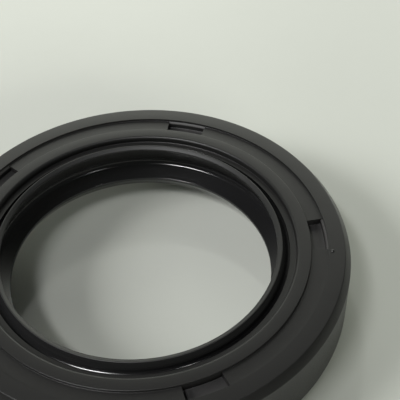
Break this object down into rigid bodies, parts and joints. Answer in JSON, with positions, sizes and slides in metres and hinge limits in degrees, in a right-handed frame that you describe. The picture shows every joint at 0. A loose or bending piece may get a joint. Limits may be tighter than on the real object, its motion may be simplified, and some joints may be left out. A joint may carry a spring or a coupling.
{
  "type": "wheel bearing dust seal",
  "caption": "Moulded rubber ring that presses into a wheel hub beside the bearing: outer band, flat face with a shallow channel and sunk pockets, raised dust lip and a main lip on the shaft",
  "frame": {"origin": "centre of the back edge, on the axis of the shaft; the ring rests on its back edge", "axes": "+Z is the shaft axis and points out of the wheel, towards the face; +X runs through the middle of one pocket; +Y completes the right-handed frame"},
  "size_m": [0.042, 0.042, 0.0071],
  "materials": {
    "black_rubber": "satin black moulded rubber, smoother and shinier on the lips"
  },
  "bodies": {
    "root": {"dust_seal_ring": "black_rubber"}
  },
  "joints": []
}
